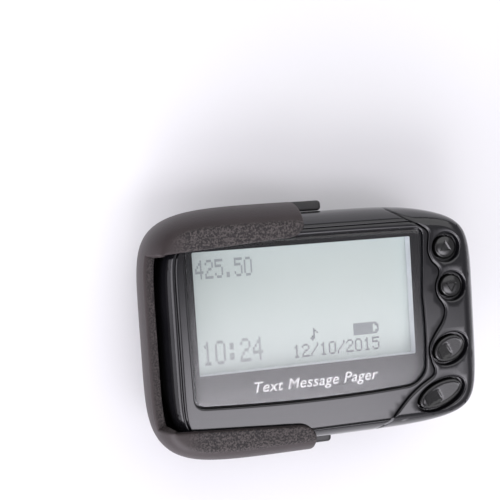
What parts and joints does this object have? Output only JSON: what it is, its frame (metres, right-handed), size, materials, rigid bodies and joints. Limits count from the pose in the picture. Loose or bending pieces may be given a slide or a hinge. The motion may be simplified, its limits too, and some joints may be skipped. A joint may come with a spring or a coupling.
{
  "type": "belt pager in a slide-on holster",
  "caption": "Landscape alphanumeric pager with a recessed display and front keys, held in a textured open-ended holster with a sprung belt clip.",
  "frame": {"origin": "middle of the footprint, at the height of the belt clip's outer face, which the pager lies on", "axes": "+X along the display to the key end, +Y up the display, +Z out of the display"},
  "size_m": [0.0862, 0.0624, 0.0314],
  "materials": {
    "gloss_case": "high-gloss moulded black",
    "satin_case": "fine satin black moulding",
    "lens": "clear polished acrylic",
    "mask_print": "dark grey print on the back of the lens",
    "white_plastic": "white moulded plastic",
    "lcd": "reflective liquid crystal cell, grey-green",
    "silicone": "dark silicone rubber",
    "circuit_board": "green solder mask",
    "tinned_steel": "tinned steel sheet",
    "chip_resin": "black moulding resin",
    "brass": "plated brass strip",
    "plated_steel": "bright plated steel",
    "cell_jacket": "printed cell jacket",
    "label": "pale matt film label",
    "key_plastic": "gloss black key mouldings",
    "textured_holster": "coarse spark-textured grey-brown moulding, smooth at its edges",
    "latch_plastic": "semi-gloss black springy plastic"
  },
  "bodies": {
    "holster": {"holster_cradle": "textured_holster", "clip_pin": "plated_steel", "clip_spring": "plated_steel"},
    "clip": {"belt_clip": "textured_holster"},
    "latch_top": {"latch_top": "latch_plastic"},
    "latch_bottom": {"latch_bottom": "latch_plastic"},
    "pager": {"front_housing": "gloss_case", "end_cap": "gloss_case", "rear_housing": "satin_case", "display_lens": "lens", "lens_mask": "mask_print", "lcd_frame": "white_plastic", "lcd_glass": "lcd", "backlight_panel": "white_plastic", "zebra_connector": "silicone", "main_board": "circuit_board", "rf_shield": "tinned_steel", "processor_chip": "chip_resin", "decoder_chip": "chip_resin", "crystal_can": "tinned_steel", "loop_antenna": "brass", "vibration_motor": "plated_steel", "motor_cradle": "silicone", "buzzer": "chip_resin", "buzzer_gasket": "silicone", "battery_cell": "cell_jacket", "battery_spring": "plated_steel", "battery_plate": "brass", "rating_label": "label", "keypad_sheet": "silicone", "switch_up": "chip_resin", "switch_down": "chip_resin", "switch_select": "chip_resin", "switch_menu": "chip_resin", "case_screw_left_top": "plated_steel", "case_screw_left_bottom": "plated_steel", "case_screw_lower": "plated_steel", "case_screw_right": "plated_steel"},
    "battery_door": {"battery_door": "satin_case"},
    "motor_weight": {"vibration_weight": "plated_steel"},
    "key_up": {"key_up": "key_plastic", "plunger_up": "silicone"},
    "key_down": {"key_down": "key_plastic", "plunger_down": "silicone"},
    "key_select": {"key_select": "key_plastic", "plunger_select": "silicone"},
    "key_menu": {"key_menu": "key_plastic", "plunger_menu": "silicone"}
  },
  "joints": [
    {"name": "pager_slide", "type": "slide", "parent": "holster", "child": "pager", "axis": [1, 0, 0], "range_m": [0, 0.045]},
    {"name": "clip_hinge", "type": "hinge", "parent": "holster", "child": "clip", "pos_m": [-0.00885, 0.0125, 0.0044], "axis": [1, 0, 0], "range_deg": [0, 18], "stiffness_Nm_per_rad": 0.12, "springref_deg": -20.05, "deforming": ["clip_spring"]},
    {"name": "latch_top_flex", "type": "hinge", "parent": "holster", "child": "latch_top", "pos_m": [-0.01145, 0.03005, 0.0165], "axis": [0, 0, 1], "range_deg": [0, 4], "stiffness_Nm_per_rad": 0.05, "springref_deg": -2.86},
    {"name": "latch_bottom_flex", "type": "hinge", "parent": "holster", "child": "latch_bottom", "pos_m": [-0.01145, -0.03005, 0.0165], "axis": [0, 0, -1], "range_deg": [0, 4], "stiffness_Nm_per_rad": 0.05, "springref_deg": -2.86},
    {"name": "battery_door_slide", "type": "slide", "parent": "pager", "child": "battery_door", "axis": [1, 0, 0], "range_m": [0, 0.0025]},
    {"name": "motor_spin", "type": "hinge", "parent": "pager", "child": "motor_weight", "pos_m": [0.03075, -0.0064, 0.015], "axis": [1, 0, 0], "continuous": true},
    {"name": "key_up_press", "type": "slide", "parent": "pager", "child": "key_up", "axis": [0, 0, -1], "range_m": [0, 0.0004], "stiffness_N_per_m": 400, "springref_m": -0.0004},
    {"name": "key_down_press", "type": "slide", "parent": "pager", "child": "key_down", "axis": [0, 0, -1], "range_m": [0, 0.0004], "stiffness_N_per_m": 400, "springref_m": -0.0004},
    {"name": "key_select_press", "type": "slide", "parent": "pager", "child": "key_select", "axis": [0, 0, -1], "range_m": [0, 0.0004], "stiffness_N_per_m": 400, "springref_m": -0.0004},
    {"name": "key_menu_press", "type": "slide", "parent": "pager", "child": "key_menu", "axis": [0, 0, -1], "range_m": [0, 0.0004], "stiffness_N_per_m": 400, "springref_m": -0.0004}
  ]
}
